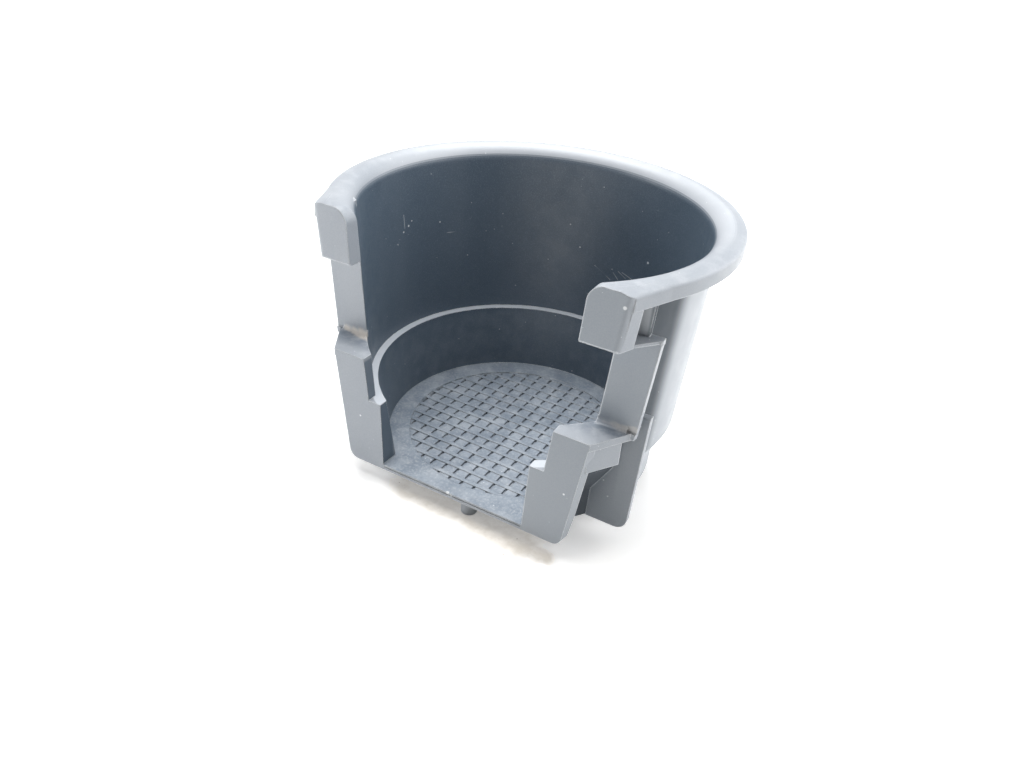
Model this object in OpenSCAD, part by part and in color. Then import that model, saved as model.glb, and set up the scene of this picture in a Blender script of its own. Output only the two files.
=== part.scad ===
// Car cup holder insert: one moulded cup with a rolled rim, open at the front,
// with a stepped post on each side of the opening and a woven relief on its floor.
// X runs along the flat front, Y towards the back, Z up from the standing plane.

/* [Cup] */
// Outer radius of the rolled rim
rim_r = 48.2; // [47.8:0.1:50]
// Height of the whole part
total_h = 70.45; // [69:0.05:74]
// Width of the rim from the inner wall to its outer edge
rim_w = 7; // [6.8:0.1:7.4]
// Draft of the upper wall from the rim down to the inner step
wall_d = 2.4; // [2:0.1:2.8]
// Height of the inner step above the standing plane
step_z = 23.2; // [22:0.2:25]
// Width of the inner step
step_w = 1.8; // [1.4:0.1:2.2]
// Draft of the lower wall from the inner step down to the floor
low_d = 2.6; // [2.2:0.1:3]
// Wall thickness
wall_t = 1.7; // [1.5:0.1:1.9]
// Floor thickness
floor_t = 1.5; // [1.4:0.1:1.8]

/* [Rim] */
// Radius of the rounding from the inner wall to the top
roll_r = 4.2; // [3.6:0.2:4.6]
// Depth of the outer lip below the top
lip_h = 4; // [3:0.2:5]
// Slope of the rim's top towards its outer edge in degrees
lip_a = 17; // [10:1:22]

/* [Front] */
// Distance of the flat front inside the rim's outer circle
front_in = 14.9; // [14.6:0.1:15.3]
// Half width of the opening at the floor
gap_low = 19.9; // [19:0.1:20.4]
// Half width of the opening just below the inner step
gap_step = 20.5; // [20.5:0.1:21]
// Half width of the opening at the ledge
gap_ledge = 25.2; // [24.8:0.1:25.6]
// Half width of the opening between the rim's end tabs
gap_tab = 28.2; // [27.8:0.1:28.6]
// Thickness of the front plates
plate_t = 2; // [1.6:0.1:2.4]
// Height of the ledges above the standing plane
ledge_z = 34.5; // [33:0.5:37]
// Height of the rim's end tabs
tab_h = 12.75; // [11.45:0.1:15.45]
// Depth of the recess between ledge and tab
recess_d = 9.3; // [8.4:0.1:9.8]
// Half width over the front plates at the ledge
post_w = 33.9; // [33.2:0.1:34.6]
// Half width over the front plates at the bottom
foot_w = 30; // [29:0.1:31]
// Half width over the plates at the back of the recess, at their top
wing_w = 42.3; // [41.8:0.1:42.8]
// Angle round the cup at which the rim's straight ends start, in degrees
tab_turn = 24.4772; // [24.1:0.0001:24.9]
// Draft of the tabs' outer sides from the rim to their lower edge
tab_d = 1.3; // [1:0.1:1.6]

/* [Floor weave] */
// Width of the plain band round the woven field
band_w = 5.5; // [4.5:0.1:8]
// Spacing of the slots across the floor
slot_px = 3.52; // [3.2:0.02:4]
// Spacing of the slots from front to back
slot_py = 3.67; // [3.4:0.02:4.2]
// Width of a slot
slot_w = 0.65; // [0.5:0.05:0.9]
// Width of the ribs between the rows of slots
rib_w = 1.2; // [0.9:0.05:1.6]

/* [Feet] */
// Length of the pegs below the floor
peg_h = 4; // [3:0.2:5]
// Diameter of the pegs
peg_d = 4; // [3:0.2:5]
// Place of the front peg to the right of the middle
peg_x = 4; // [-8:0.5:8]

/* [Hidden] */
$fn = 128;
eps = 0.01;
big = 120;
sides = [1, -1];
// Levels
floor_top = peg_h + floor_t;
roll_z = total_h - roll_r;
lip_z = total_h - lip_h;
tab_z = total_h - tab_h;
// Radii
mouth_r = rim_r - rim_w;
waist_r = mouth_r - wall_d;
low_r = waist_r - step_w;
floor_r = low_r - low_d;
weave_r = floor_r - band_w;
foot_r = floor_r + 1.9;
knee_r = foot_r + 0.2;
knee_z = step_z - 10.7;
hip_z = step_z - 2.7;
function in_r(z) = waist_r + (mouth_r - waist_r) * (z - step_z) / (roll_z - step_z);
function out_r(z) = in_r(z) + wall_t;
roll_c = mouth_r + roll_r;
lip_t = wall_t;
lip_c = rim_r - lip_t / 2;
lip_cz = roll_z + (roll_r - lip_t / 2 - (lip_c - roll_c) * sin(lip_a)) / cos(lip_a);
// Front plane and recess plane
front_d = rim_r - front_in;
fy = -front_d;
ry = fy + recess_d;
// The gap's half width just above the inner step
gap_mid = gap_ledge - 1.2;
// Lean of the posts' outer edges
post_k = (post_w - foot_w) / (ledge_z - peg_h);
// Direction of the posts' outer sides seen from above
side_a = 24;
// Straight ends of the rim and half width over them at the front
tab_run = (front_d - rim_r * sin(tab_turn)) / cos(tab_turn);
tab_w = rim_r * cos(tab_turn) - tab_run * sin(tab_turn);
tab_a = tab_turn - 0.8;
tab_len = tab_run - 3;
end_dz = 0.1;
tab_c = 1.6;
// Rounding of the tabs' inner top corners and of the plates' lower corners
tab_r = 3.85;
foot_c = 2.5;
wing_t = 1.8;
shelf_z = tab_z - 0.4;
shelf_t = 0.7;
fillet_r = 1.5;
// Back plate
bp_y = ry + 4.15;
bp_t = 1.65;
bp_w = wing_w - 1.73;
bp_k = 0.0385;
bp_top = ledge_z + 2;
bp_c = 3;

// Points on an arc from angle a0 to a1 about the centre c
function arc(c, r, a0, a1, n) =
    [for (i = [0:n]) c + r * [cos(a0 + (a1 - a0) * i / n), sin(a0 + (a1 - a0) * i / n)]];

// The rim's section in the r-z plane: its underside from angle a, the lip, its top back to a
function rim_under(a) = concat(
    arc([roll_c, roll_z], roll_r - lip_t, a, 90 - lip_a, ceil((a - 90 + lip_a) / 12)),
    [[rim_r - lip_t, lip_cz - lip_t * 0.4], [rim_r - lip_t, lip_z], [rim_r - 0.2, lip_z],
     [rim_r, lip_z + 0.2]]
);
function rim_top(a) = concat(
    arc([lip_c, lip_cz], lip_t / 2, 0, 90 - lip_a, 6),
    arc([roll_c, roll_z], roll_r, 90 - lip_a, a, ceil((a - 90 + lip_a) / 7))
);

// The cup's outside turned about its axis, still solid inside
module turned_body() {
    rotate_extrude() polygon(concat(
        [[0, peg_h], [foot_r - 0.3, peg_h], [foot_r, peg_h + 0.3], [knee_r, knee_z],
         [out_r(hip_z), hip_z]],
        rim_under(180), rim_top(180), [[0, roll_z]]
    ));
}

// The room inside the cup
module cavity() {
    rotate_extrude() polygon([
        [0, floor_top], [floor_r, floor_top], [low_r, step_z], [waist_r, step_z],
        [mouth_r, roll_z], [mouth_r, total_h + 5], [0, total_h + 5]
    ]);
}

// A shape of the x-z plane, drawn along Y from y0 over the depth d
module along_y(y0, d) {
    translate([0, y0 + d, 0]) rotate([90, 0, 0]) linear_extrude(height = d) children();
}

// Outline of the opening between the posts, seen from the front
module gap_outline() {
    polygon([
        [-gap_low, floor_top], [gap_low, floor_top], [gap_step, step_z], [gap_mid, step_z],
        [gap_ledge, ledge_z], [gap_tab, tab_z], [gap_tab + 0.5, roll_z],
        [gap_tab + 0.5, total_h + 5], [-gap_tab - 0.5, total_h + 5], [-gap_tab - 0.5, roll_z],
        [-gap_tab, tab_z], [-gap_ledge, ledge_z], [-gap_mid, step_z], [-gap_step, step_z]
    ]);
    for (s = sides) {
        difference() {
            translate([s * (gap_tab + 0.5 + tab_r / 2) - tab_r / 2, total_h - tab_r])
                square([tab_r, tab_r + 5]);
            translate([s * (gap_tab + 0.5 + tab_r), total_h - tab_r]) circle(r = tab_r);
        }
    }
}

// What is cut away at the front: the opening, the recesses and all before the flat front
module front_cut() {
    along_y(-big, big - 15) gap_outline();
    translate([-big / 2, -big, ledge_z]) cube([big, big + ry, shelf_z - ledge_z]);
    translate([-big / 2, fy - big, ledge_z]) cube([big, big + 0.4, tab_z - ledge_z]);
    translate([-big / 2, -big - front_d, -1]) cube([big, big, total_h + 2]);
}

// Front plate below the ledge with its leaning outer edge
module front_plate() {
    a = atan(post_k);
    c = [foot_w + post_k * foot_c - foot_c / cos(a), peg_h + foot_c];
    difference() {
        along_y(fy - 1, plate_t + 1) polygon(concat(
            [[gap_low - 1, peg_h]], arc(c, foot_c, -90, -a - 12, 6),
            [c + [foot_c + 0.6, 0], [post_w + 2, ledge_z + 0.5], [gap_low - 1, ledge_z + 0.5]]
        ));
        translate([post_w, fy, ledge_z])
            rotate([0, atan(post_k * cos(side_a)), -side_a])
                translate([0, -30, -60]) cube([30, 60, 90]);
    }
}

// Side wall of the opening below the ledge, stepped with the inner step
module side_wall() {
    along_y(fy - 1, 13) {
        polygon([
            [gap_low - 1, peg_h], [gap_low + wall_t, peg_h], [gap_step + wall_t, step_z - wall_t],
            [gap_mid + wall_t, step_z - wall_t], [gap_ledge + wall_t, ledge_z - 0.5],
            [gap_low - 1, ledge_z - 0.5]
        ]);
    }
}

// Ledge that joins the front plate to the wing plate
module ledge() {
    translate([0, 0, ledge_z - wing_t]) linear_extrude(height = wing_t + 0.5)
        polygon([
            [gap_ledge - 2, fy - 1], [post_w - 0.45, fy - 1], [post_w, fy],
            [wing_w - 2, ry + 1], [wing_w - 2, ry + wing_t - 0.3], [gap_ledge - 2, ry + wing_t - 0.3]
        ]);
}

// Short skirt that hangs from the ledge's outer edge
module skirt() {
    translate([0, 0, ledge_z - 8.2]) linear_extrude(height = 7.5)
        polygon([
            [post_w - 0.4, fy + 0.8], [post_w + 4.2, fy + 7.9], [post_w + 2.6, fy + 8.6],
            [post_w - 2.6, fy + 0.8]
        ]);
}

// Wing plate at the back of the recess
module wing_plate() {
    along_y(ry - 0.5, wing_t + 0.5)
        polygon([
            [gap_ledge, ledge_z - wing_t + 0.3], [wing_w - 2, ledge_z - wing_t + 0.3],
            [wing_w, shelf_z + 0.5], [gap_ledge, shelf_z + 0.5]
        ]);
}

// Rounding where the ledge meets the wing plate
module ledge_fillet() {
    x0 = gap_ledge + 6;
    w = wing_w - 3.9 - x0;
    translate([x0, ry - fillet_r, ledge_z]) difference() {
        translate([0, 0, -0.3]) cube([w, fillet_r + 0.3, fillet_r + 0.3]);
        translate([-1, 0, fillet_r]) rotate([0, 90, 0]) cylinder(r = fillet_r, h = w + 2);
    }
}

// Shelf that closes the recess below the tab
module shelf() {
    translate([0, 0, shelf_z - 0.5]) linear_extrude(height = shelf_t + 0.5)
        polygon([
            [gap_tab - 1, fy + 0.4], [tab_w - tab_d - 0.3, fy + 0.4], [tab_w - 0.1, fy + 3.8],
            [wing_w + 0.1, ry + 0.3], [wing_w + 0.1, ry + wing_t - 0.2],
            [gap_tab - 1, ry + wing_t - 0.2]
        ]);
}

// Front wall of the rim's end tab
module tab_front() {
    along_y(fy - 1, plate_t + 1)
        polygon([
            [gap_tab - 2, shelf_z - 0.5], [tab_w - tab_d - 0.9, shelf_z - 0.5], [tab_w - 0.9, lip_z + 0.5],
            [tab_w - 1.6, lip_cz], [roll_c - 12, total_h - wall_t / 2],
            [gap_tab + 0.5, roll_z + 2.4], [gap_tab - 2, roll_z + 2.4]
        ]);
}

// Straight end of the rim, almost tangent to its circle, and the tab's outer side below it
module tab_side() {
    translate([tab_w, fy, 0]) rotate([0, 0, -tab_a]) {
        translate([-rim_r, 0, -end_dz]) {
            along_y(-3, tab_len + 3) polygon(concat(
                [[roll_c - 0.05, total_h - lip_t]], rim_under(90), rim_top(90),
                [[roll_c - 0.05, total_h]]
            ));
            translate([roll_c, 0, total_h - lip_t]) linear_extrude(height = lip_t - 0.02)
                polygon([[0.5, tab_len], [0, tab_len], [-3.9, -2.8], [-3.9, -3], [0.5, -3]]);
        }
        along_y(-3, 6.9)
            polygon([
                [-tab_d - 1.7, shelf_z - 0.6], [-tab_d, shelf_z - 0.6],
                [-0.25, lip_z], [-0.25, lip_cz], [-2.4, lip_cz]
            ]);
    }
}

// What rounds the vertical edge between the tab's front and its outer side
module tab_edge_cut() {
    m = [cos(tab_a), -sin(tab_a)];
    c = [-tab_c * (1 - sin(tab_a)) / cos(tab_a), tab_c];
    translate([tab_w, fy, total_h]) rotate([0, atan(tab_d / (total_h - tab_z)), 0])
        translate([0, 0, -total_h + tab_z - 1]) linear_extrude(height = total_h - tab_z + 3)
            difference() {
                polygon([c, [c[0], -1], [3, -1], c + 4 * m]);
                translate(c) circle(r = tab_c);
            }
}

// Rib that carries the rim above the shelf
module rim_rib() {
    along_y(ry, 1.6)
        polygon([
            [mouth_r - 6.7, shelf_z + 0.4], [wing_w - 3, shelf_z + 0.4],
            [wing_w - 2.4, total_h - 1], [mouth_r - 4, total_h - 1], [mouth_r - 6.7, total_h - 2.2]
        ]);
}

// Back plate beside the lower cup
module back_plate() {
    a = atan(bp_k);
    c = [bp_w + bp_k * bp_c - bp_c / cos(a), peg_h + bp_c];
    along_y(bp_y, bp_t) polygon(concat(
        [[25, peg_h]], arc(c, bp_c, -90, -a, 9), [[bp_w + bp_k * (bp_top - peg_h), bp_top], [25, bp_top]]
    ));
}

// Everything that stands beside the opening on the right, before the front is cut
module post() {
    front_plate();
    side_wall();
    ledge();
    skirt();
    wing_plate();
    shelf();
    tab_front();
    tab_side();
    rim_rib();
    back_plate();
}

// Floor in front of the turned cup, out past the flat front
module floor_front() {
    translate([-gap_low - 0.5, fy - 1, peg_h]) cube([2 * gap_low + 1, 17, floor_t]);
}

// Fine line along the floor's front edge
module edge_line() {
    translate([-gap_low + 0.2, fy - 1, peg_h + 0.75]) cube([2 * gap_low - 0.4, 1.25, 0.25]);
}

// Woven relief: slots in a sunk field, in rows between low ribs
module weave_cut() {
    translate([0, 0, floor_top - 0.35]) cylinder(r = weave_r, h = 2);
    intersection() {
        translate([0, 0, floor_top - 0.8]) cylinder(r = weave_r - 0.3, h = 2);
        for (i = [-8:8])
            translate([i * slot_px - slot_w / 2, -big / 2, floor_top - 0.8])
                cube([slot_w, big, 2]);
    }
}

module weave_ribs() {
    intersection() {
        translate([0, 0, floor_top - 0.9]) cylinder(r = weave_r + eps, h = 2);
        union() {
            for (j = [-9:8])
                translate([-big / 2, (j + 0.5) * slot_py + 0.8 - rib_w / 2, floor_top - 0.9])
                    cube([big, rib_w, 0.75]);
        }
    }
}

// Peg under the floor
module peg(x, y) {
    translate([x, y, 0]) cylinder(d = peg_d, h = peg_h + 0.4);
}

// Calls its children on the right and mirrored on the left
module both() {
    for (s = sides) mirror([s > 0 ? 0 : 1, 0, 0]) children();
}

module cup_holder() {
    color("slategray") {
        difference() {
            union() {
                turned_body();
                floor_front();
                both() post();
            }
            cavity();
            front_cut();
            edge_line();
            both() tab_edge_cut();
            weave_cut();
        }
        both() ledge_fillet();
        weave_ribs();
        peg(peg_x, fy + 3);
        both() peg(foot_r - 14.3, foot_r - 14.3);
    }
}

// The origin lies under the middle of the part's box
translate([0, (front_d - rim_r) / 2, 0]) {
    cup_holder();
}
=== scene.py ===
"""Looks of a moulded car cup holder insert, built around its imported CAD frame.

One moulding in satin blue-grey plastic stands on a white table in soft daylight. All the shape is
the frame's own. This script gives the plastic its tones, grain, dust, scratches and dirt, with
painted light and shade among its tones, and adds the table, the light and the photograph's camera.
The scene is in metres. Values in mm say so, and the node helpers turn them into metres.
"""

import math

import bpy
from mathutils import Matrix, Vector

MM = 0.001

# The photograph's camera, in the frame's axes
CAMERA_PLACE = Vector((80.92, -171.11, 135.19)) * MM
CAMERA_RIGHT = Vector((0.8679, 0.4919, 0.0701))
CAMERA_UP = Vector((-0.3160, 0.4377, 0.8418))
CAMERA_BACK = Vector((0.3834, -0.7527, 0.5353))
FOCAL_PX = 818.42
IMAGE_WIDTH_PX = 1024
SENSOR_MM = 36.0
CLIP_START = 0.01

# Lamps: name, place, target, size, power in W
LAMPS = (
    ("back_window", (0.52, 0.40, 0.34), (0.0, 0.0, 0.04), (0.8, 0.7), 5.0),
    ("left_fill", (-0.27, -0.17, 0.08), (-0.03, -0.04, 0.03), (0.24, 0.16), 0.46),
    ("sky_panel", (-0.15, 0.15, 0.87), (0.0, 0.0, 0.03), (0.7, 0.7), 11.0),
)
SKY_LIGHT = 0.20
SKY_SEEN = 1.0

# Colours, linear
WHITE = (1.0, 1.0, 1.0, 1.0)
PLASTIC = (0.300, 0.330, 0.372, 1.0)
# Painted light: the outer wall's paler tone
PLASTIC_OUTER_LIT = (0.380, 0.412, 0.452, 1.0)
# Painted shade: the darker tone of the inner wall and of the faces across the front gap
PLASTIC_INSIDE_SHADE = (0.076, 0.108, 0.146, 1.0)
# Painted shade in the deep places inside
PLASTIC_DEEP_SHADE = (0.080, 0.104, 0.136, 1.0)
# Painted shade on the outer wall beside the plates and in the window jambs
PLASTIC_SHADE_BAND = (0.022, 0.032, 0.044, 1.0)
PLASTIC_FLOOR = (0.245, 0.288, 0.342, 1.0)
PLASTIC_FLOOR_DARK = (0.180, 0.220, 0.272, 1.0)
PLASTIC_PALE = (0.50, 0.52, 0.54, 1.0)
# Painted shade on the front faces of the right side
PLASTIC_FRONT_SHADE = (0.180, 0.208, 0.235, 1.0)
# Painted shade on the ledge tops, and the floor's dark grit
PLASTIC_LEDGE = (0.120, 0.150, 0.195, 1.0)
# Painted light on the rim's inner half
RIM_LIT = (0.56, 0.59, 0.63, 1.0)
# Painted highlight on the edges and on the post ends in the windows
PAINTED_HIGHLIGHT = (0.70, 0.73, 0.76, 1.0)
STEP_TONE = (0.58, 0.62, 0.67, 1.0)
DUST = (0.70, 0.72, 0.74, 1.0)
DIRT = (0.66, 0.61, 0.54, 1.0)
# Painted shade in fine crevices and under the floor's front edge
DARK_SHADE = (0.040, 0.052, 0.070, 1.0)
MARK = (0.85, 0.87, 0.88, 1.0)
TABLE_WHITE = (0.93, 0.92, 0.90, 1.0)
TABLE_PALE = (0.95, 0.95, 0.945, 1.0)
# Dust and painted shadow on the table along the front
TABLE_DUST_AND_SHADOW = (0.36, 0.31, 0.24, 1.0)
TABLE_GRAIN = (0.26, 0.21, 0.16, 1.0)

# Places on the part in mm, each with the two ends between which a tone comes or goes
CUP_AXIS_Y = -7.45
INSIDE_RADIUS = (41.7, 42.7)
DEEP_SHADE_RADIUS = (41.3, 42.1)
STEP_RADIUS = (39.4, 39.8)
BELOW_STEP_Z = (21.2, 23.2)
RIM_Z = (66.25, 66.75)
RIM_LIGHT_Y = (-18.0, 14.0)
BEHIND_FRONT_Y = (-39.8, -39.0)
FRONT_SHADE_X = (2.0, 24.0)
FRONT_EDGE_X = (18.0, 21.0)
FRONT_EDGE_Y = (-40.6, -40.4)
GAP_SIDE_Y = (-37.0, -35.5)
GAP_SHADE_Z = (22.0, 25.0)
LEDGE_SHADE_Y = (-39.4, -34.0)
WINDOW_X = (35.0, 36.0)
WINDOW_Y = (-31.7, -31.5)
JAMB_Y = (-28.0, -27.0)
POST_END_X = (38.6, 39.3)

# Bands on the part in mm: the ends of a tone's rise, then those of its fall
FLOOR_Z = ((4.1, 4.3), (5.9, 6.7))
FRONT_EDGE_Z = ((4.65, 4.85), (5.1, 5.25))
GAP_SIDE_Z = ((5.0, 5.8), (33.2, 34.0))
STEP_Z = ((22.7, 23.0), (23.35, 23.5))
LEDGE_Z = ((34.2, 34.35), (34.8, 35.4))
WINDOW_Z = ((58.0, 58.3), (66.2, 66.8))
OUTER_RADIUS = ((35.0, 36.0), (43.4, 43.8))

# Ramps: a value's two ends and what it becomes at each, which is 0 and 1 where not given.
# These take the direction of a face, as a part of its normal
FACING_FRONT = (-0.95, -0.80, 1.0, 0.0)
FACING_SIDE = (0.85, 0.95)
FACING_GAP = (-0.97, -0.90, 1.0, 0.0)
FACING_IN = (0.86, 0.985)
FACING_OUT = (0.70, 0.80)
FLOOR_UP = (0.2, 0.6)
STEP_UP = (0.3, 0.7)
LEDGE_UP = (0.5, 0.9)
DUST_UP = (0.5, 0.95)
RIM_TOP = (-0.97, -0.85)
RIM_INNER_HALF = (-0.2, 0.2, 1.0, 0.0)
ROUNDED_EDGE = (0.995, 0.86)
# This one takes the direction from the cup's axis, which is -1 straight to the front
BESIDE_PLATES = (-0.31, -0.165, 0.88, 0.0)
# These take a noise and give patches
CLOUDY = (0.35, 0.68, 0.0, 0.16)
GRAINY = (0.35, 0.65, 0.0, 0.16)
CLOUDY_INSIDE = (0.3, 0.8, 0.0, 0.10)
GRAINY_INSIDE = (0.45, 0.75, 0.0, 0.22)
HAZY_INSIDE = (0.35, 0.75, 0.01, 0.07)
FLOOR_BLOTCHES = (0.38, 0.62)
FLOOR_PALE_GRIT = (0.52, 0.66, 0.0, 0.38)
FLOOR_DARK_GRIT = (0.34, 0.48, 0.42, 0.0)
LEDGE_PATCHES = (0.35, 0.65, 0.85, 0.45)
EDGE_PATCHES = (0.35, 0.62, 0.45, 1.0)
DUST_PATCHES = (0.42, 0.72, 0.05, 0.22)
DIRT_PATCHES = (0.3, 0.55, 0.45, 1.0)
SATIN_ROUGHNESS = (0.3, 0.7, 0.33, 0.44)
TABLE_BLOTCHES = (0.35, 0.7)
TABLE_PATCHES = (0.35, 0.65, 0.75, 0.95)
# These take the openness of a place
DEEP_SHADE = (0.20, 0.80, 0.8, 0.0)
CREVICE_SHADE = (0.25, 0.75, 0.75, 0.0)
# This one takes the distance from the middle of the table in m, for its glow to the camera
TABLE_GLOW = (0.14, 0.45, 0.30, 1.1)

# Openness: reach in mm, samples
DEEP = (24.0, 8)
CREVICE = (1.4, 6)

# How strongly tones show, from 0 to 1
FRONT_SHADE = 0.38
POST_END_LIGHT = 0.9
JAMB_SHADE = 0.95
RIM_LIGHT = 0.7
GAP_SHADE = (0.92, 0.72)
FRONT_EDGE_SHADE = 0.35
DEEP_LESS_ON_FLOOR = 0.5
CREVICE_SHADE_LESS_ON_FLOOR = 0.75
DIRT_LEFT_STRENGTH = 0.72
DIRT_RIGHT_STRENGTH = 0.35
FINE_STRENGTH = 0.6
HAIR_STRENGTH = 0.35
SCRATCH_STRENGTH = 0.5
MARK_STRENGTH = 0.75

# Noises: scale per metre, detail, roughness
BROAD = (60.0, 2.0, 0.5)
BROAD_STRETCH = (1.0, 1.0, 0.45)
HAZE = (240.0, 4.0, 0.6)
GRAIN = (3600.0, 2.0, 0.6)
BLOTCHES = (110.0, 3.0, 0.65)
GRIT = (1500.0, 3.0, 0.7)
MOTTLE = (300.0, 4.0, 0.6)
# Noises that move a place about: scale per metre, reach in mm
DIRT_SHIFT = (260.0, 2.6)
TABLE_SHIFT = (220.0, 4.0)

# Scattered specks: cell size in mm, share of the cells with a speck, radius in mm
FINE_SPECKS = (1.6, 0.22, 0.24)
COARSE_SPECKS = (8.0, 0.14, 0.50)
COARSE_SHIFT = (0.37, 0.11, 0.29)
HAIRS = (3.4, 0.05, 0.15)
HAIR_STRETCH = (1.0, 0.16, 0.30)
HAIR_TURN = (20.0, 35.0, 15.0)
TABLE_SPECKS = (1.6, 0.30, 0.32)
SPECK_SHARPNESS = 4.0

# The part of a mark's radius or half width that is full
SPOT_CORE = 0.55
STROKE_CORE = 0.3

# Gloss and relief: lengths in mm
PLASTIC_IOR = 1.5
SHADE_BAND_ROUGHNESS = 0.4
EDGE_RADIUS = 0.45
EDGE_SAMPLES = 6
BUMP_STRENGTH = 0.16
BUMP_HEIGHT = 0.05
BUMP_HAZE = 0.8

# The table: size in m, and how much wider its grains lie than its shade
TABLE_SIZE = 6.0
TABLE_ROUGHNESS = 0.8
TABLE_GRAIN_SPREAD = 1.5

# Hair scratches on the inner wall: width and pairs of ends, in mm
SCRATCH_WIDTH = 0.16
SCRATCHES = (
    ((0.7, 32.2, 39.8), (6.2, 31.6, 37.1)),
    ((6.8, 31.6, 39.5), (8.6, 31.2, 38.0)),
    ((8.3, 31.4, 40.4), (11.0, 30.6, 39.2)),
    ((9.6, 31.1, 40.5), (13.1, 30.1, 39.8)),
    ((-40.4, -3.6, 55.3), (-40.1, -3.4, 51.6)),
    ((-39.9, -1.6, 57.2), (-39.8, -0.6, 56.6)),
    ((-36.4, 9.9, 47.2), (-34.6, 12.6, 47.0)),
)
# Bright spots on the inner wall and chips on the front edges: centre and radius, in mm
SPOTS = (
    ((17.4, 28.7, 46.5), 0.42),
    ((-40.3, -3.9, 50.7), 0.36),
    ((-40.0, -1.9, 51.9), 0.34),
    ((-39.8, -0.7, 53.0), 0.26),
    ((-37.0, 8.6, 50.6), 0.28),
    ((-4.5, 32.2, 44.0), 0.30),
    ((-0.6, -40.7, 5.3), 0.62),
    ((0.5, -40.75, 5.0), 0.40),
    ((36.6, -40.75, 67.4), 0.50),
)
# Dirt along the ledges' back corners: two ends and the reach, in mm
DIRT_LEFT = (
    ((-37.5, -31.8, 35.0), (-33.0, -31.9, 34.9), 1.3),
    ((-33.0, -31.9, 34.9), (-29.0, -32.2, 34.7), 2.0),
)
DIRT_RIGHT = (
    ((32.6, -31.7, 34.9), (37.0, -31.7, 34.9), 0.9),
    ((37.0, -31.7, 34.9), (40.3, -31.8, 35.2), 1.2),
)
# Dust and painted soft shadow on the table along the front: two ends and the reach, in mm
TABLE_SHADE = (
    ((-13.0, -38.0, 0.0), (20.0, -40.0, 0.0), 8.5),
    ((22.0, -41.0, 0.0), (27.0, -41.5, 0.0), 4.0),
)


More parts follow.
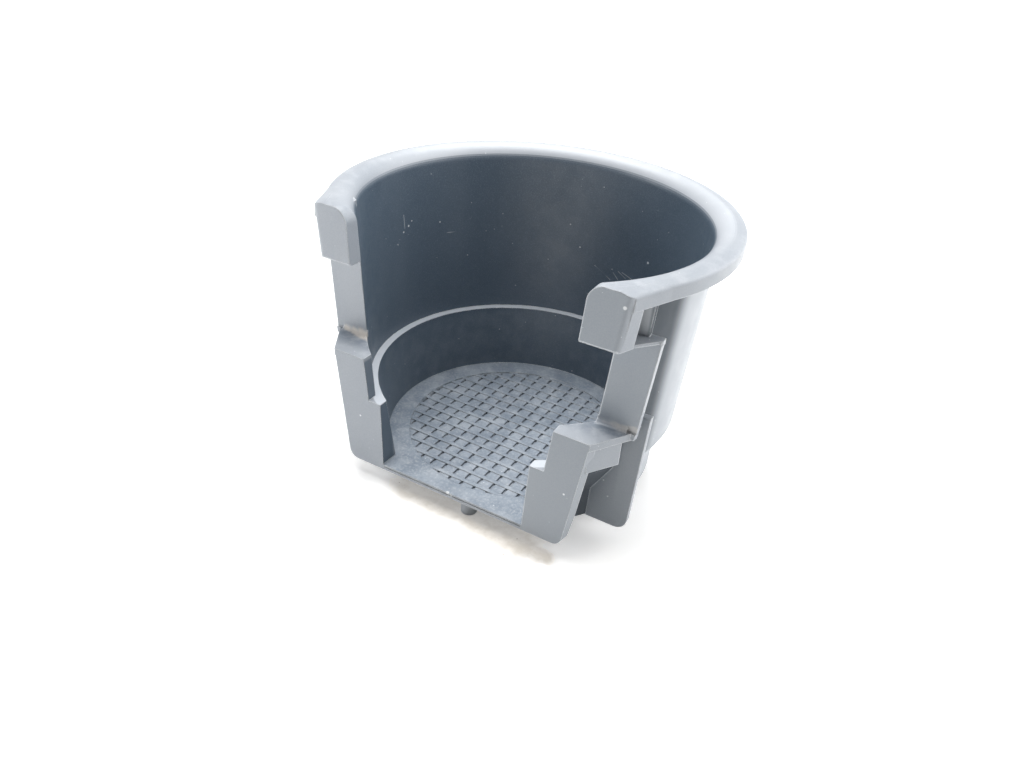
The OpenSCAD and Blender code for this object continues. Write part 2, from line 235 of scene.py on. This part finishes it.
class Nodes:
    """Short calls for building one material's node tree."""

    def __init__(self, tree):
        self.tree = tree

    def new(self, kind, **values):
        node = self.tree.nodes.new(kind)
        for key, value in values.items():
            setattr(node, key, value)
        return node

    def put(self, socket, value):
        """Links value into socket when it is a socket itself, and else writes it there."""
        if isinstance(value, bpy.types.NodeSocket):
            self.tree.links.new(value, socket)
        else:
            socket.default_value = value

    def math(self, operation, *items, clamp=False):
        node = self.new("ShaderNodeMath", operation=operation, use_clamp=clamp)
        for socket, item in zip(node.inputs, items):
            self.put(socket, item)
        return node.outputs[0]

    def product(self, *items):
        result = items[0]
        for item in items[1:]:
            result = self.math("MULTIPLY", result, item)
        return result

    def less(self, item):
        """1 where item is 0, and 0 where it is 1."""
        return self.math("SUBTRACT", 1.0, item)

    def most(self, *items):
        top = items[0]
        for item in items[1:]:
            top = self.math("MAXIMUM", top, item)
        return top

    def ramp(self, value, low, high, out_low=0.0, out_high=1.0):
        """value taken smoothly from out_low at low to out_high at high."""
        node = self.new("ShaderNodeMapRange", interpolation_type="SMOOTHSTEP")
        for socket, item in zip(node.inputs, (value, low, high, out_low, out_high)):
            self.put(socket, item)
        return node.outputs[0]

    def passing(self, length, ends, before, after):
        """From before to after as a length passes two ends in mm."""
        return self.ramp(length, ends[0] * MM, ends[1] * MM, before, after)

    def rise(self, length, ends, top=1.0):
        return self.passing(length, ends, 0.0, top)

    def fall(self, length, ends, top=1.0):
        return self.passing(length, ends, top, 0.0)

    def band(self, length, rise, fall):
        """1 between a rise and a fall."""
        return self.product(self.rise(length, rise), self.fall(length, fall))

    def mix(self, factor, a, b):
        """The colour a at factor 0, and b at 1."""
        node = self.new("ShaderNodeMix", data_type="RGBA")
        for name, item in ((0, factor), (6, a), (7, b)):
            self.put(node.inputs[name], item)
        return node.outputs[2]

    def split(self, vector):
        node = self.new("ShaderNodeSeparateXYZ")
        self.put(node.inputs[0], vector)
        return node.outputs

    def vector(self, operation, *items, scale=None):
        node = self.new("ShaderNodeVectorMath", operation=operation)
        for socket, item in zip(node.inputs, items):
            self.put(socket, item)
        if scale is not None:
            self.put(node.inputs["Scale"], scale)
        return node.outputs["Value" if operation in ("DOT_PRODUCT", "LENGTH") else 0]

    def stretch(self, vector, scale, turn=(0.0, 0.0, 0.0), shift=(0.0, 0.0, 0.0)):
        """A place scaled, turned by degrees and shifted."""
        node = self.new("ShaderNodeMapping")
        self.put(node.inputs["Vector"], vector)
        node.inputs["Location"].default_value = shift
        node.inputs["Rotation"].default_value = [math.radians(a) for a in turn]
        node.inputs["Scale"].default_value = scale
        return node.outputs[0]

    def noise(self, vector, scale, detail, roughness):
        node = self.new("ShaderNodeTexNoise")
        self.put(node.inputs["Vector"], vector)
        for name, item in (("Scale", scale), ("Detail", detail), ("Roughness", roughness)):
            node.inputs[name].default_value = item
        return node.outputs["Fac"]

    def moved(self, position, scale, reach):
        """A place moved about by noise, by up to about half of reach in mm."""
        cloud = self.new("ShaderNodeTexNoise")
        self.put(cloud.inputs["Vector"], position)
        cloud.inputs["Scale"].default_value = scale
        push = self.vector("SUBTRACT", cloud.outputs["Color"], (0.5, 0.5, 0.5))
        return self.vector("ADD", position, self.vector("SCALE", push, scale=reach * MM))

    def specks(self, vector, size, share, radius):
        """Small round marks, one in each cell of that size, in a share of the cells. In mm."""
        cells = self.new("ShaderNodeTexVoronoi")
        self.put(cells.inputs["Vector"], vector)
        cells.inputs["Scale"].default_value = 1.0 / (size * MM)
        parts = self.new("ShaderNodeSeparateColor")
        self.put(parts.inputs[0], cells.outputs["Color"])
        reach = self.product(parts.outputs[1], radius / size)
        near = self.math("SUBTRACT", reach, cells.outputs["Distance"])
        mark = self.math("MULTIPLY", near, SPECK_SHARPNESS * size / radius, clamp=True)
        return self.product(mark, self.math("GREATER_THAN", parts.outputs[0], 1.0 - share))

    def stroke(self, position, start, end, width):
        """1 on a straight mark between two points and 0 past its half width. In mm."""
        start, end = Vector(start) * MM, Vector(end) * MM
        along = end - start
        off = self.vector("SUBTRACT", position, start)
        length = self.vector("DOT_PRODUCT", off, along)
        share = self.math("DIVIDE", length, along.length_squared, clamp=True)
        foot = self.vector("SCALE", along, scale=share)
        away = self.vector("LENGTH", self.vector("SUBTRACT", off, foot))
        return self.fall(away, (STROKE_CORE * width, width))

    def strokes(self, position, lines):
        return self.most(*[self.stroke(position, *line) for line in lines])

    def spot(self, position, centre, radius):
        """1 at a point and 0 past radius. In mm."""
        away = self.vector("LENGTH", self.vector("SUBTRACT", position, Vector(centre) * MM))
        return self.fall(away, (SPOT_CORE * radius, radius))

    def openness(self, reach, samples):
        """1 in the open and less where the part itself stands within reach, in mm."""
        node = self.new("ShaderNodeAmbientOcclusion", samples=samples, only_local=True)
        node.inputs["Distance"].default_value = reach * MM
        return node.outputs["AO"]


class Surface(Nodes):
    """The part's surface: the places, directions, noises and masks that its layers share."""

    def __init__(self, tree):
        super().__init__(tree)
        place = self.new("ShaderNodeNewGeometry")
        self.position = place.outputs["Position"]
        self.normal = place.outputs["Normal"]
        self.x, self.y, self.z = self.split(self.position)
        self.nx, self.ny, self.up = self.split(self.normal)
        self.aside = self.math("ABSOLUTE", self.x)
        self.facing_front = self.ramp(self.ny, *FACING_FRONT)
        self.set_round_the_axis()
        self.broad = self.noise(self.stretch(self.position, BROAD_STRETCH), *BROAD)
        self.haze = self.noise(self.position, *HAZE)
        self.grain = self.noise(self.position, *GRAIN)
        self.rounded = self.new("ShaderNodeBevel", samples=EDGE_SAMPLES)
        self.rounded.inputs["Radius"].default_value = EDGE_RADIUS * MM
        self.set_masks()

    def set_round_the_axis(self):
        """The distance from the cup's axis, and how far the surface faces away from it."""
        self.from_axis = self.math("SUBTRACT", self.y, CUP_AXIS_Y * MM)
        squares = self.product(self.x, self.x), self.product(self.from_axis, self.from_axis)
        self.radius = self.math("SQRT", self.math("ADD", *squares))
        parts = self.product(self.x, self.nx), self.product(self.from_axis, self.ny)
        self.outward = self.math("DIVIDE", self.math("ADD", *parts), self.radius)

    def set_masks(self):
        facing_in = self.ramp(self.product(self.outward, -1.0), *FACING_IN)
        self.inside = self.product(facing_in, self.fall(self.radius, INSIDE_RADIUS))
        self.on_floor = self.product(self.band(self.z, *FLOOR_Z), self.ramp(self.up, *FLOOR_UP))
        self.outer = self.product(
            self.ramp(self.outward, *FACING_OUT),
            self.band(self.radius, *OUTER_RADIUS),
            self.rise(self.y, BEHIND_FRONT_Y),
        )
        # The end of the post that shows in the window under each tab
        self.window = self.product(
            self.band(self.z, *WINDOW_Z),
            self.rise(self.aside, WINDOW_X),
            self.rise(self.y, WINDOW_Y),
        )
        # Painted shade on the outer wall beside the plates and in the window jambs
        self.painted_shade_band = self.most(self.beside_plates(), self.window_jamb())

    def beside_plates(self):
        """The outer wall next to the plates, which keep the light off it."""
        direction = self.math("DIVIDE", self.from_axis, self.radius)
        return self.product(self.outer, self.ramp(direction, *BESIDE_PLATES))

    def window_jamb(self):
        sideways = self.ramp(self.math("ABSOLUTE", self.nx), *FACING_SIDE)
        return self.product(self.window, sideways, self.fall(self.y, JAMB_Y, JAMB_SHADE))


# Each of these layers takes the tone so far and returns it with one more thing on it


def base(s, tone):
    """Slight cloudiness and grain, and painted shade on the front of the right side."""
    tone = s.mix(s.ramp(s.broad, *CLOUDY), tone, PLASTIC_PALE)
    tone = s.mix(s.ramp(s.grain, *GRAINY), tone, PLASTIC_PALE)
    right = s.rise(s.x, FRONT_SHADE_X, FRONT_SHADE)
    return s.mix(s.product(s.facing_front, right), tone, PLASTIC_FRONT_SHADE)


def floor_mottling(s, tone):
    blotches = s.noise(s.position, *BLOTCHES)
    grit = s.noise(s.position, *GRIT)
    floor = s.mix(s.ramp(blotches, *FLOOR_BLOTCHES), PLASTIC_FLOOR_DARK, PLASTIC_FLOOR)
    floor = s.mix(s.ramp(grit, *FLOOR_PALE_GRIT), floor, PLASTIC_PALE)
    floor = s.mix(s.ramp(grit, *FLOOR_DARK_GRIT), floor, PLASTIC_LEDGE)
    return s.mix(s.on_floor, tone, floor)


def outer_wall(s, tone):
    """Painted light makes the outer wall and the post ends in the windows paler. Painted shade
    darkens the wall where the plates keep the light off it, and the window jambs.
    """
    post_end = s.product(s.window, s.facing_front, s.fall(s.aside, POST_END_X, POST_END_LIGHT))
    tone = s.mix(post_end, tone, PAINTED_HIGHLIGHT)
    tone = s.mix(s.outer, tone, PLASTIC_OUTER_LIT)
    return s.mix(s.painted_shade_band, tone, PLASTIC_SHADE_BAND)


def lit_rim(s, tone):
    """Painted light makes the rim's inner half paler towards the back."""
    half = s.product(s.ramp(s.outward, *RIM_TOP), s.ramp(s.outward, *RIM_INNER_HALF))
    lit = s.product(s.rise(s.z, RIM_Z), half, s.rise(s.y, RIM_LIGHT_Y, RIM_LIGHT))
    return s.mix(lit, tone, RIM_LIT)


def deep_places(s, tone):
    """Painted shade darkens the deep places inside, and the finest crevices still more."""
    off_floor = s.less(s.product(s.on_floor, DEEP_LESS_ON_FLOOR))
    deep = s.product(s.ramp(s.openness(*DEEP), *DEEP_SHADE), s.fall(s.radius, DEEP_SHADE_RADIUS))
    tone = s.mix(s.product(deep, off_floor), tone, PLASTIC_DEEP_SHADE)
    off_floor = s.less(s.product(s.on_floor, CREVICE_SHADE_LESS_ON_FLOOR))
    crevice = s.ramp(s.openness(*CREVICE), *CREVICE_SHADE)
    return s.mix(s.product(crevice, off_floor), tone, DARK_SHADE)


def ledge_tops(s, tone):
    """Painted shade on the tops of the two ledges, darker towards the back."""
    top = s.product(s.band(s.z, *LEDGE_Z), s.ramp(s.up, *LEDGE_UP))
    shade = s.product(s.rise(s.y, LEDGE_SHADE_Y), s.ramp(s.haze, *LEDGE_PATCHES))
    return s.mix(s.product(top, shade), tone, PLASTIC_LEDGE)


def gap_sides(s, tone):
    """Painted shade gives the faces that look across the front gap the inside's darker tone."""
    facing = s.ramp(s.product(s.math("SIGN", s.x), s.nx), *FACING_GAP)
    side = s.product(facing, s.fall(s.y, GAP_SIDE_Y), s.band(s.z, *GAP_SIDE_Z))
    shade = s.passing(s.z, GAP_SHADE_Z, *GAP_SHADE)
    return s.mix(s.product(side, shade), tone, PLASTIC_INSIDE_SHADE)


def front_edge_line(s, tone):
    """Painted shade: a dark line under the floor's front edge."""
    line = s.product(s.band(s.z, *FRONT_EDGE_Z), s.fall(s.y, FRONT_EDGE_Y))
    middle = s.fall(s.aside, FRONT_EDGE_X, FRONT_EDGE_SHADE)
    return s.mix(s.product(line, middle), tone, DARK_SHADE)


def inner_step(s, tone):
    """The step round the inside catches the light."""
    flat = s.product(s.ramp(s.up, *STEP_UP), s.fall(s.radius, STEP_RADIUS))
    return s.mix(s.product(s.band(s.z, *STEP_Z), flat), tone, STEP_TONE)


def inner_wall(s, tone):
    """Painted shade makes the inner wall darker and bluer, with a little haze below the step."""
    wall = s.mix(s.ramp(s.broad, *CLOUDY_INSIDE), PLASTIC_INSIDE_SHADE, PLASTIC)
    wall = s.mix(s.ramp(s.grain, *GRAINY_INSIDE), wall, PLASTIC)
    low_haze = s.product(s.fall(s.z, BELOW_STEP_Z), s.ramp(s.haze, *HAZY_INSIDE))
    return s.mix(s.inside, tone, s.mix(low_haze, wall, DUST))


def highlighted_edges(s, tone):
    """Painted highlights make the edges pale where the rounded normal leaves the true one."""
    agreement = s.vector("DOT_PRODUCT", s.rounded.outputs[0], s.normal)
    edge = s.product(s.ramp(agreement, *ROUNDED_EDGE), s.ramp(s.haze, *EDGE_PATCHES))
    return s.mix(s.product(edge, s.less(s.on_floor)), tone, PAINTED_HIGHLIGHT)


def settled_dust(s, tone):
    """Dry dust lies in patches on what faces up."""
    dust = s.product(s.ramp(s.up, *DUST_UP), s.ramp(s.haze, *DUST_PATCHES))
    return s.mix(dust, tone, DUST)


def corner_dirt(s, tone):
    """Dirt in the corners at the back of the two ledges, more of it on the left."""
    uneven = s.moved(s.position, *DIRT_SHIFT)
    left = s.product(s.strokes(uneven, DIRT_LEFT), DIRT_LEFT_STRENGTH)
    right = s.product(s.strokes(uneven, DIRT_RIGHT), DIRT_RIGHT_STRENGTH)
    dirt = s.product(s.most(left, right), s.ramp(s.haze, *DIRT_PATCHES))
    return s.mix(s.product(dirt, s.less(s.inside)), tone, DIRT)


def pale_marks(s, tone):
    """Specks, hairs, scratches, bright spots and chips."""
    shifted = s.stretch(s.position, (1.0, 1.0, 1.0), shift=COARSE_SHIFT)
    drawn_out = s.stretch(s.position, HAIR_STRETCH, turn=HAIR_TURN)
    scratches = s.strokes(s.position, [(*ends, SCRATCH_WIDTH) for ends in SCRATCHES])
    marks = s.most(
        s.product(s.specks(s.position, *FINE_SPECKS), FINE_STRENGTH),
        s.specks(shifted, *COARSE_SPECKS),
        s.product(s.specks(drawn_out, *HAIRS), HAIR_STRENGTH),
        s.product(scratches, SCRATCH_STRENGTH),
        *[s.spot(s.position, *spot) for spot in SPOTS],
    )
    return s.mix(s.product(marks, MARK_STRENGTH), tone, MARK)


LAYERS = (
    base,
    floor_mottling,
    outer_wall,
    lit_rim,
    deep_places,
    ledge_tops,
    gap_sides,
    front_edge_line,
    inner_step,
    inner_wall,
    highlighted_edges,
    settled_dust,
    corner_dirt,
    pale_marks,
)


def plastic_material():
    """Satin moulded plastic: layers of tone over one base, painted light and shade among them, and
    a fine grain in the surface.
    """
    material = bpy.data.materials.new("satin_plastic")
    material.use_nodes = True
    s = Surface(material.node_tree)
    shader = material.node_tree.nodes["Principled BSDF"]
    tone = PLASTIC
    for layer in LAYERS:
        tone = layer(s, tone)
    s.put(shader.inputs["Base Color"], tone)

    # The places with painted shade beside the plates and in the window jambs are duller, so that
    # they mirror no light
    satin = s.ramp(s.haze, *SATIN_ROUGHNESS)
    duller = s.product(s.painted_shade_band, SHADE_BAND_ROUGHNESS)
    s.put(shader.inputs["Roughness"], s.math("ADD", satin, duller))
    shader.inputs["IOR"].default_value = PLASTIC_IOR

    bump = s.new("ShaderNodeBump")
    bump.inputs["Strength"].default_value = BUMP_STRENGTH
    bump.inputs["Distance"].default_value = BUMP_HEIGHT * MM
    s.put(bump.inputs["Height"], s.math("ADD", s.grain, s.product(s.haze, BUMP_HAZE)))
    s.put(bump.inputs["Normal"], s.rounded.outputs[0])
    s.put(shader.inputs["Normal"], bump.outputs[0])
    return material


def table_material():
    """White table with a little dust and painted shadow along the front, that goes white further
    off.
    """
    material = bpy.data.materials.new("table_white")
    material.use_nodes = True
    n = Nodes(material.node_tree)
    shader = material.node_tree.nodes["Principled BSDF"]
    where = n.new("ShaderNodeNewGeometry").outputs["Position"]
    mottle = n.noise(where, *MOTTLE)
    tone = n.mix(n.ramp(mottle, *TABLE_BLOTCHES), TABLE_WHITE, TABLE_PALE)
    shade = n.strokes(n.moved(where, *TABLE_SHIFT), TABLE_SHADE)
    tone = n.mix(n.product(shade, n.ramp(mottle, *TABLE_PATCHES)), tone, TABLE_DUST_AND_SHADOW)
    wider = [(a, b, TABLE_GRAIN_SPREAD * reach) for a, b, reach in TABLE_SHADE]
    grains = n.product(n.strokes(where, wider), n.specks(where, *TABLE_SPECKS))
    n.put(shader.inputs["Base Color"], n.mix(grains, tone, TABLE_GRAIN))
    shader.inputs["Roughness"].default_value = TABLE_ROUGHNESS
    shader.inputs["Emission Color"].default_value = WHITE
    seen = n.new("ShaderNodeLightPath")
    direct = n.most(seen.outputs["Is Camera Ray"], seen.outputs["Is Glossy Ray"])
    glow = n.ramp(n.vector("LENGTH", where), *TABLE_GLOW)
    n.put(shader.inputs["Emission Strength"], n.product(direct, glow))
    return material


def white_world():
    """White to the camera and in reflections, and a softer sky for the light itself."""
    world = bpy.data.worlds.new("white_room")
    bpy.context.scene.world = world
    world.use_nodes = True
    n = Nodes(world.node_tree)
    seen = n.new("ShaderNodeLightPath")
    rays = ("Is Camera Ray", "Is Glossy Ray", "Is Transmission Ray")
    direct = n.most(*[seen.outputs[name] for name in rays])
    background = world.node_tree.nodes["Background"]
    background.inputs["Color"].default_value = WHITE
    n.put(background.inputs["Strength"], n.ramp(direct, 0.0, 1.0, SKY_LIGHT, SKY_SEEN))


def area_light(name, place, target, size, power):
    lamp = bpy.data.lights.new(name, "AREA")
    lamp.shape = "RECTANGLE"
    lamp.size, lamp.size_y = size
    lamp.energy = power
    holder = bpy.data.objects.new(name, lamp)
    bpy.context.collection.objects.link(holder)
    holder.location = place
    holder.rotation_euler = (Vector(target) - Vector(place)).to_track_quat("-Z", "Y").to_euler()


def photo_camera():
    lens = bpy.data.cameras.new("photo_camera")
    lens.sensor_width = SENSOR_MM
    lens.lens = FOCAL_PX / IMAGE_WIDTH_PX * SENSOR_MM
    lens.clip_start = CLIP_START
    holder = bpy.data.objects.new("photo_camera", lens)
    bpy.context.collection.objects.link(holder)
    turn = Matrix((CAMERA_RIGHT, CAMERA_UP, CAMERA_BACK)).transposed()
    holder.matrix_world = Matrix.Translation(CAMERA_PLACE) @ turn.to_4x4()
    bpy.context.scene.camera = holder


def table():
    bpy.ops.mesh.primitive_plane_add(size=TABLE_SIZE, location=(0.0, 0.0, 0.0))
    top = bpy.context.object
    top.name = "table_top"
    top.data.materials.append(table_material())


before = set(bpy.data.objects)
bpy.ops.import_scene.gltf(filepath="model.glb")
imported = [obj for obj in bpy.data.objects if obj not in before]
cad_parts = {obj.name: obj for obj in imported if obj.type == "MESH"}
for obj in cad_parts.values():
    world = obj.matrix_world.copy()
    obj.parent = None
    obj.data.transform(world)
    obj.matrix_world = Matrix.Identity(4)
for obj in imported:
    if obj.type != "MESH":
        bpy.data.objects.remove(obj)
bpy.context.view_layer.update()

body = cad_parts["cup_holder"]
body.data.materials.clear()
body.data.materials.append(plastic_material())

table()
white_world()
for lamp in LAMPS:
    area_light(*lamp)
photo_camera()
bpy.context.scene.view_settings.view_transform = "Standard"
